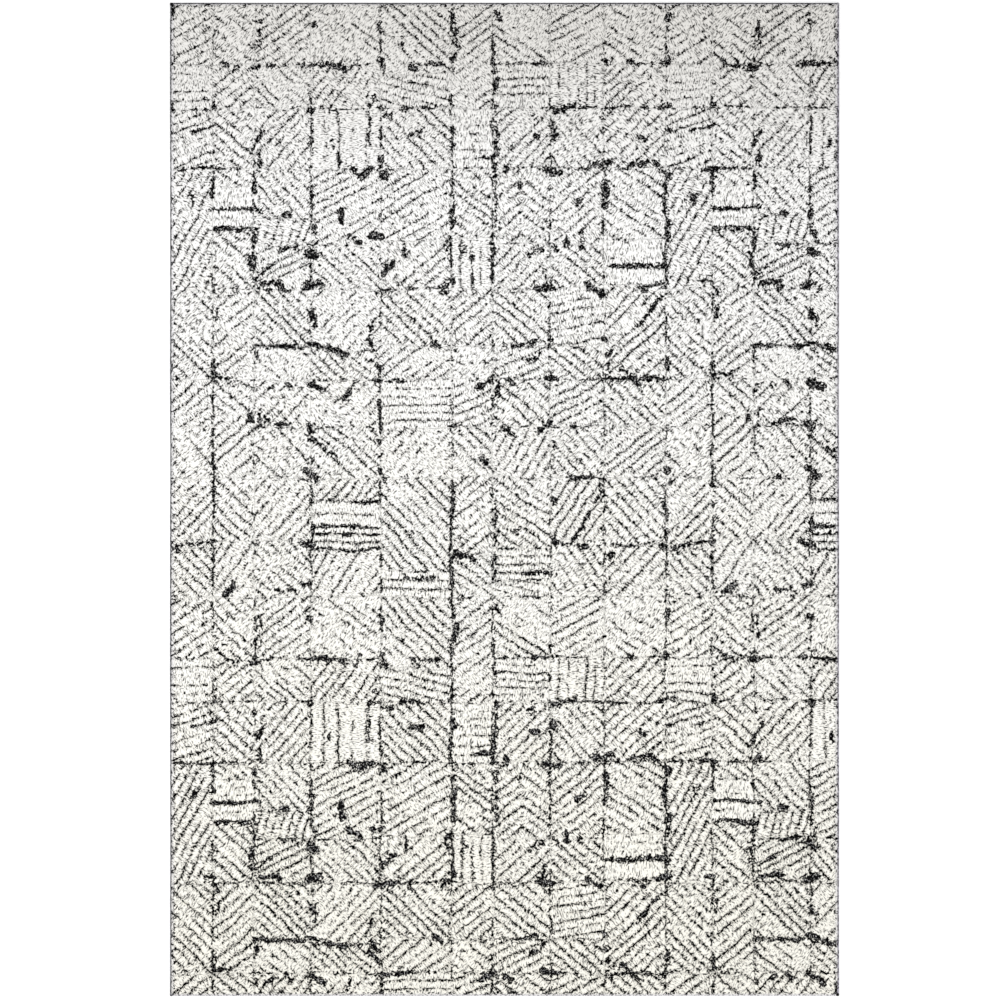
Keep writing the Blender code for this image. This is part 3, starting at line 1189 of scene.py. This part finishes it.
def lay_folded_map(obj: bpy.types.Object, folds: int) -> None:
    """Gives a closed tube its own map: its length cut into strips laid side by side.

    Args:
        obj: The tube, with "round" and "travel" from 0 to 1 at each point.
        folds: How many strips the length is cut into.
    """
    corner, starts, sizes = face_corners(obj.data)
    turn, travel = (stored_at(obj, name)[corner] for name in ("round", "travel"))
    seam = (turn < 1e-4) | (turn > 1 - 1e-4)
    inner = np.add.reduceat(np.where(seam, 0.0, turn), starts)
    inner /= np.maximum(np.add.reduceat((~seam).astype(float), starts), 1)
    inner = np.repeat(inner, sizes)
    around = np.where(seam, (inner > 0.5).astype(float), turn)
    middle = np.repeat(np.add.reduceat(travel, starts) / sizes, sizes)
    fold = np.clip(np.floor(middle * folds), 0, folds - 1)
    across, up = (fold + 0.04 + 0.92 * around) / folds, 0.004 + 0.992 * (travel * folds - fold)
    set_map(obj.data, np.stack([across, up], 1))


@dataclass
class PileColumns:
    """The cream pile: one carved strip for each column of the design.

    Attributes:
        spacing: Distance between the mesh's points, in metres.
        shoulder: Height of a crease between two ridges, over the strip's base.
        drop_at_edge: How far the pile rounds off at the rug's own edge, in metres.
        tuft_relief: How far tufts stand up and down, in metres.
        rooted: How far a strip's sides reach down into the charcoal pile, in metres.
        stray: How far tufts stand from their even places, in metres.
    """

    spacing: float = 0.00225
    shoulder: float = 0.0040
    drop_at_edge: float = 0.0035
    tuft_relief: float = 0.0009
    rooted: float = 0.0012
    stray: float = 0.0009

    def build(self) -> list:
        """Builds every strip.

        Returns:
            The strips, from left to right.
        """
        nodes = sorted(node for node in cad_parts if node.startswith("pile_column_"))
        boxes = [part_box(node) for node in nodes]
        seams = [boxes[0][0].x]
        seams += [(near[1].x + far[0].x) / 2 for near, far in zip(boxes, boxes[1:])]
        seams.append(boxes[-1][1].x)
        design = CarvedDesign(tuple(seams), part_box("overcast_head")[1].y)
        finish = CreamPile(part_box("secondary_backing")[1].x, boxes[0][1].y).material()
        strips = []
        for number, node in enumerate(nodes):
            strip = self._strip(number, node, design)
            strip.data.materials.append(finish)
            strips.append(strip)
        return strips

    def _strip(self, number: int, node: str, design: CarvedDesign) -> bpy.types.Object:
        """Builds one strip.

        Args:
            number: Its number, from 0 on the left.
            node: The name of its solid.
            design: The carved design.

        Returns:
            The strip.
        """
        low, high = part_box(node)
        seams = design.seams
        left, right = seams[number], seams[number + 1]
        columns = round((right - left) / self.spacing)
        rows = round((high.y - low.y) / self.spacing)
        strip = gridded_slab(node.replace("pile_column", "cream_pile"), columns, rows)
        unit = points_of(strip)
        x = left + (unit[:, 0] + 0.5) * (right - left)
        y = low.y + (unit[:, 1] + 0.5) * (high.y - low.y)
        x, y = self._stray(x, y, seams, low, high)
        sample = design.sample(x, y)
        z = self._height(sample, x, y, seams, low, high)
        foot = unit[:, 2] < -0.5
        z[foot] = low.z - self.rooted
        move_points(strip, np.stack([x, y, z], 1))
        store(strip, "charcoal", sample.charcoal)
        store(strip, "line", sample.line)
        store_vector(strip, "yarn", sample.yarn)
        lay_flat_map(strip, unit, 4)
        smooth(strip)
        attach(strip, BODY)
        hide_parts(node)
        return strip

    def _stray(self, x: np.ndarray, y: np.ndarray, seams: tuple, low: Vector, high: Vector) -> tuple:
        """Shifts points off their even grid, but not at the rug's own edge.

        Args:
            x: Positions across the rug, in metres.
            y: Positions along the rug, in metres.
            seams: Where the seams between the columns are.
            low: Lowest corner of the strip's box.
            high: Highest corner of the strip's box.

        Returns:
            The shifted positions, across and along.
        """
        inner = np.minimum(x - seams[0], seams[-1] - x)
        inner = np.clip(np.minimum(inner, np.minimum(y - low.y, high.y - y)) / 0.02, 0, 1)
        x = x + (SmoothNoise(0.0021, 11).at(x, y) - 0.5) * self.stray * inner
        y = y + (SmoothNoise(0.0021, 12).at(x, y) - 0.5) * self.stray * inner
        return x, y

    def _height(self, sample: PileSample, x: np.ndarray, y: np.ndarray, seams: tuple,
                low: Vector, high: Vector) -> np.ndarray:
        """Works out how high the pile stands.

        Args:
            sample: The design at each point.
            x: Positions across the rug, in metres.
            y: Positions along the rug, in metres.
            seams: Where the seams between the columns are.
            low: Lowest corner of the strip's box.
            high: Highest corner of the strip's box.

        Returns:
            The height of each point over the floor, in metres.
        """
        top = high.z - 0.0008
        crease = low.z + self.shoulder
        z = crease + (top - crease) * sample.crown
        z += (SmoothNoise(0.0024, 13).at(x, y) - 0.5) * self.tuft_relief
        z += (SmoothNoise(0.0052, 14).at(x, y) - 0.5) * self.tuft_relief
        z += (SmoothNoise(0.070, 15).at(x, y) - 0.5) * 0.0010
        edge = np.minimum(np.minimum(x - seams[0], seams[-1] - x), np.minimum(y - low.y, high.y - y))
        z -= self.drop_at_edge * (1 - np.clip(edge / 0.009, 0, 1)) ** 2
        flank = low.z + 0.0012 - 3.2 * (sample.charcoal - 0.0016)
        lined = low.z + 0.0014 + 2.8 * np.maximum(sample.distance - sample.line, 0)
        return np.maximum(np.minimum(np.minimum(z, flank), lined), low.z - 0.0020)


@dataclass
class Ground:
    """The short charcoal pile, which shows wherever the cream is carved away.

    Attributes:
        spacing: Distance between the mesh's points, in metres.
        tuft_relief: How far tufts stand up and down, in metres.
    """

    spacing: float = 0.0063
    tuft_relief: float = 0.0016

    def build(self) -> bpy.types.Object:
        """Builds the sheet of charcoal tufts.

        Returns:
            The piece.
        """
        low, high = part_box("ground_pile")
        size = high - low
        columns, rows = round(size.x / self.spacing), round(size.y / self.spacing)
        ground = gridded_slab("charcoal_ground", columns, rows)
        unit = points_of(ground)
        x = unit[:, 0] * size.x
        y = unit[:, 1] * size.y
        z = high.z + (SmoothNoise(0.0065, 21).at(x, y) - 0.5) * self.tuft_relief
        foot = unit[:, 2] < -0.5
        z[foot] = low.z
        move_points(ground, np.stack([x, y, z], 1))
        lay_flat_map(ground, unit, 1)
        smooth(ground)
        ground.data.materials.append(GroundPile().material())
        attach(ground, BODY)
        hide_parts("ground_pile")
        return ground


class Side(Enum):
    """The four sides of the rug, each with the direction that points inwards."""

    LEFT = (1, 0)
    RIGHT = (-1, 0)
    FOOT = (0, 1)
    HEAD = (0, -1)

    @property
    def label(self) -> str:
        """Its name in lower case."""
        return self.name.lower()


EDGE_YARNS = {
    Side.LEFT: WrappedYarn("overcast_yarn_left", (0.22, 0.22, 0.235, 1.0), (0.03, 0.03, 0.033, 1.0), 0.60),
    Side.RIGHT: WrappedYarn("overcast_yarn_right", (0.40, 0.38, 0.44, 1.0), (0.05, 0.045, 0.06, 1.0), 0.55),
    Side.FOOT: WrappedYarn("overcast_yarn_foot", (0.66, 0.64, 0.66, 1.0), (0.17, 0.16, 0.18, 1.0), 0.45),
    Side.HEAD: WrappedYarn("overcast_yarn_head", (0.16, 0.155, 0.18, 1.0), (0.015, 0.015, 0.018, 1.0), 0.60),
}


@dataclass
class OvercastEdges:
    """The yarn wrapped over all four sides of the rug.

    Attributes:
        wrap: Distance from one wrap of yarn to the next, in metres.
        faces_per_wrap: How many faces one wrap has along the edge.
        rib: How far a wrap stands out, in metres.
        outer_faces: Faces round the outside of the edge.
        inner_faces: Faces round the hollow that holds the cord.
        wall: Thickness of the yarn over the cord, in metres.
        waver: How far the edge wanders, in metres.
    """

    wrap: float = 0.0040
    faces_per_wrap: int = 3
    rib: float = 0.0005
    outer_faces: int = 8
    inner_faces: int = 5
    wall: float = 0.0014
    waver: float = 0.0010

    def build(self) -> list:
        """Builds the four sides.

        Returns:
            The pieces.
        """
        return [self._side(side) for side in Side]

    def _side(self, side: Side) -> bpy.types.Object:
        """Builds the overcast yarn of one side.

        Args:
            side: The side.

        Returns:
            The piece.
        """
        low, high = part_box(f"overcast_{side.label}")
        size = high - low
        upright = side in (Side.LEFT, Side.RIGHT)
        length, width = (size.y, size.x) if upright else (size.x, size.y)
        rows = round(length / self.wrap) * self.faces_per_wrap
        around = self.outer_faces + self.inner_faces
        piece = flat_grid(f"overcast_yarn_{side.label}", around, rows)
        unit = points_of(piece)
        step = np.round((unit[:, 0] + 0.5) * around).astype(int)
        travel = (unit[:, 1] + 0.5) * length
        inward, up = self._section(step % around, travel, width, size.z)
        stray = SmoothNoise(0.21, 31 + side.value[0] * 2 + side.value[1]).at(travel, travel * 0.3)
        inward += self.waver * stray * (inward < width * 0.6)
        out = inward if side in (Side.LEFT, Side.FOOT) else width - inward
        if upright:
            place = np.stack([low.x + out, low.y + travel, low.z + up], 1)
        else:
            place = np.stack([low.x + travel, low.y + out, low.z + up], 1)
        move_points(piece, place)
        store(piece, "round", step / around)
        store(piece, "travel", travel / length)
        close_tube(piece)
        lay_folded_map(piece, 24)
        smooth(piece)
        piece.data.materials.append(EDGE_YARNS[side].material())
        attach(piece, BODY)
        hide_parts(f"overcast_{side.label}")
        return piece

    def _section(self, step: np.ndarray, travel: np.ndarray, width: float, height: float) -> tuple:
        """Places points round the section of the wrapped edge.

        Args:
            step: Which point of the section each one is.
            travel: How far along the edge each one is.
            width: Width of the section.
            height: Height of the section.

        Returns:
            Distance inwards from the outer face, and height over the base.
        """
        half = height / 2
        turn = np.clip(step / self.outer_faces, 0, 1) * math.pi
        stand = self.rib * (1 - np.abs(np.sin(math.pi * (travel / self.wrap + step * 0.07))))
        reach = width * 0.62 - stand
        outer_in = width * 0.62 - reach * np.sin(turn) ** 0.8
        outer_in = np.where((step == 0) | (step == self.outer_faces), width, outer_in)
        outer_up = half - (half - stand) * np.cos(turn)
        turn = np.clip((step - self.outer_faces) / self.inner_faces, 0, 1) * math.pi
        inner_in = width - (width - self.wall) * np.sin(turn) ** 0.4
        inner_up = half + (half - self.wall) * np.sign(np.cos(turn)) * np.abs(np.cos(turn)) ** 0.4
        outside = step <= self.outer_faces
        return np.where(outside, outer_in, inner_in), np.where(outside, outer_up, inner_up)


class Corner(Enum):
    """The four corners of the rug, each with the signs of its place."""

    HEAD_LEFT = (-1, 1)
    HEAD_RIGHT = (1, 1)
    FOOT_LEFT = (-1, -1)
    FOOT_RIGHT = (1, -1)


CHARCOAL_TACK = WrappedYarn("corner_yarn_charcoal", (0.02, 0.02, 0.022, 1.0), (0.003, 0.003, 0.003, 1.0), 0.6)
GREY_TACK = WrappedYarn("corner_yarn_grey", (0.30, 0.29, 0.32, 1.0), (0.04, 0.04, 0.045, 1.0), 0.5)
CORNER_YARNS = {
    Corner.HEAD_LEFT: CHARCOAL_TACK,
    Corner.HEAD_RIGHT: GREY_TACK,
    Corner.FOOT_LEFT: GREY_TACK,
    Corner.FOOT_RIGHT: CHARCOAL_TACK,
}


@dataclass
class CornerTacks:
    """The whipped knots of yarn that close the four corners.

    Attributes:
        squareness: How boxy a knot is, where 1 is an ellipsoid and less is squarer.
        turns: How many turns of yarn wrap one knot.
        rib: How far a turn stands out, as a share of the knot.
    """

    squareness: float = 0.55
    turns: int = 5
    rib: float = 0.05

    def build(self) -> list:
        """Builds the four knots.

        Returns:
            The pieces.
        """
        finishes = {yarn.name: yarn.material() for yarn in CORNER_YARNS.values()}
        return [self._knot(corner, finishes[CORNER_YARNS[corner].name]) for corner in Corner]

    def _knot(self, corner: Corner, finish: bpy.types.Material) -> bpy.types.Object:
        """Builds the knot at one corner.

        Args:
            corner: The corner.
            finish: Its material.

        Returns:
            The piece.
        """
        node = f"corner_tack_{corner.name.lower()}"
        low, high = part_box(node)
        shape = bmesh.new()
        bmesh.ops.create_uvsphere(shape, u_segments=48, v_segments=32, radius=1.0)
        knot = made_object(f"corner_knot_{corner.name.lower()}", shape)
        ball = points_of(knot)
        squared = np.sign(ball) * np.abs(ball) ** self.squareness
        squared /= np.abs(squared).max(axis=0)
        turn = ball[:, 0] * corner.value[1] - ball[:, 1] * corner.value[0]
        squared *= 1 - self.rib * (1 - np.abs(np.sin(turn * self.turns)))[:, None]
        middle, half = np.array((low + high) / 2), np.array((high - low) / 2)
        move_points(knot, middle + squared * half)
        smooth(knot)
        knot.data.materials.append(finish)
        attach(knot, BODY)
        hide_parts(node)
        return knot


BACKING_FINISH = PlainWeave(
    "backing_cloth_weave", (0.56, 0.49, 0.38, 1.0), (0.20, 0.165, 0.12, 1.0), 0.0048,
)
LATEX_FINISH = PlainWeave(
    "latex_over_weave", (0.60, 0.57, 0.50, 1.0), (0.42, 0.39, 0.33, 1.0), 0.0040, 0.6,
)
WEAVE_FINISH = PlainWeave(
    "ground_weave_jute", (0.46, 0.36, 0.23, 1.0), (0.20, 0.15, 0.09, 1.0), 0.0036,
)
CORD_FINISH = WrappedYarn("filler_cord_twist", (0.55, 0.52, 0.46, 1.0), (0.30, 0.28, 0.24, 1.0), 0.4)


@dataclass
class Underside:
    """The woven backing cloth, and the hidden layers that keep their own solids.

    Attributes:
        spacing: Distance between the cloth's points, in metres.
        cockle: How far the cloth cockles, in metres.
    """

    spacing: float = 0.016
    cockle: float = 0.0004

    def build(self) -> bpy.types.Object:
        """Builds the backing cloth and dresses the layers over it.

        Returns:
            The cloth.
        """
        low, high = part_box("secondary_backing")
        size = high - low
        cloth = flat_grid("backing_cloth", round(size.x / self.spacing), round(size.y / self.spacing))
        flat = points_of(cloth)
        x, y = flat[:, 0] * size.x, flat[:, 1] * size.y
        lift = self.cockle * SmoothNoise(0.045, 41).at(x, y)
        move_points(cloth, np.stack([x, y, low.z + lift], 1))
        shape = bmesh.new()
        shape.from_mesh(cloth.data)
        bmesh.ops.solidify(shape, geom=shape.faces[:], thickness=-(size.z - self.cockle))
        bmesh.ops.recalc_face_normals(shape, faces=shape.faces)
        shape.to_mesh(cloth.data)
        shape.free()
        smooth(cloth)
        cloth.data.materials.append(BACKING_FINISH.material())
        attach(cloth, BODY)
        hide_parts("secondary_backing")
        self._dress_layers()
        return cloth

    @staticmethod
    def _dress_layers() -> None:
        """Gives the hidden layers their finishes."""
        cord = CORD_FINISH.material()
        finishes = {f"filler_cord_{side.label}": cord for side in Side}
        finishes["latex_coat"] = LATEX_FINISH.material()
        finishes["ground_weave"] = WEAVE_FINISH.material()
        for node, finish in finishes.items():
            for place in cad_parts[node].material_slots:
                place.link = "OBJECT"
                place.material = finish


@dataclass
class Studio:
    """The pale floor, the soft lights and the camera.

    Attributes:
        view_width: How wide the view is at the height of the rug's edges, in metres.
        edge_height: Height of the rug's edges, in metres.
        focal: Focal length, in millimetres.
        sensor: Sensor width, in millimetres.
        offset: Where the camera stands, from the rug's middle, in metres.
    """

    view_width: float = 2.3903
    edge_height: float = 0.005
    focal: float = 85.0
    sensor: float = 36.0
    offset: tuple = (-0.0107, -0.0014)

    def build(self) -> None:
        """Builds the whole studio."""
        self._floor()
        self._lights()
        self._camera()
        bpy.context.scene.view_settings.view_transform = "Standard"

    def _floor(self) -> None:
        """Lays the floor."""
        shape = bmesh.new()
        bmesh.ops.create_grid(shape, x_segments=1, y_segments=1, size=9.0)
        floor = made_object("floor", shape)
        floor.data.materials.append(Floor().material())

    def _lights(self) -> None:
        """Hangs two soft lights and fills the room with even light."""
        world = bpy.data.worlds.new("room")
        world.use_nodes = True
        world.node_tree.nodes["Background"].inputs["Color"].default_value = (1, 1, 1, 1)
        world.node_tree.nodes["Background"].inputs["Strength"].default_value = 0.75
        bpy.context.scene.world = world
        self._light("key", (-1.1, 0.1, 3.6), 2.2, 78)
        self._light("fill", (1.7, -2.3, 3.8), 3.0, 60)

    def _light(self, name: str, place: tuple, size: float, power: float) -> None:
        """Hangs one square light that faces the middle of the rug.

        Args:
            name: The light's name.
            place: Where it hangs, in metres.
            size: Length of its sides, in metres.
            power: Its power, in watts.
        """
        lamp = bpy.data.lights.new(name, "AREA")
        lamp.size = size
        lamp.energy = power
        obj = bpy.data.objects.new(name, lamp)
        obj.location = place
        obj.rotation_euler = (-Vector(place)).to_track_quat("-Z", "Y").to_euler()
        bpy.context.scene.collection.objects.link(obj)

    def _camera(self) -> None:
        """Places the camera straight above the rug."""
        camera = bpy.data.cameras.new("camera")
        camera.lens = self.focal
        camera.sensor_width = self.sensor
        obj = bpy.data.objects.new("camera", camera)
        distance = self.view_width * self.focal / self.sensor
        obj.location = (*self.offset, self.edge_height + distance)
        bpy.context.scene.collection.objects.link(obj)
        bpy.context.scene.camera = obj


def main() -> None:
    """Builds the studio and every piece of the rug."""
    logging.basicConfig(level=logging.INFO, format="%(name)s: %(message)s")
    Studio().build()
    strips = PileColumns().build()
    log.info("cream pile: %d strips", len(strips))
    ground = Ground().build()
    log.info("charcoal ground pile: %s", ground.name)
    edges = OvercastEdges().build()
    log.info("overcast edges: %d sides", len(edges))
    knots = CornerTacks().build()
    log.info("corner tacks: %d knots", len(knots))
    cloth = Underside().build()
    log.info("backing: %s", cloth.name)


if __name__ == "__main__":
    main()
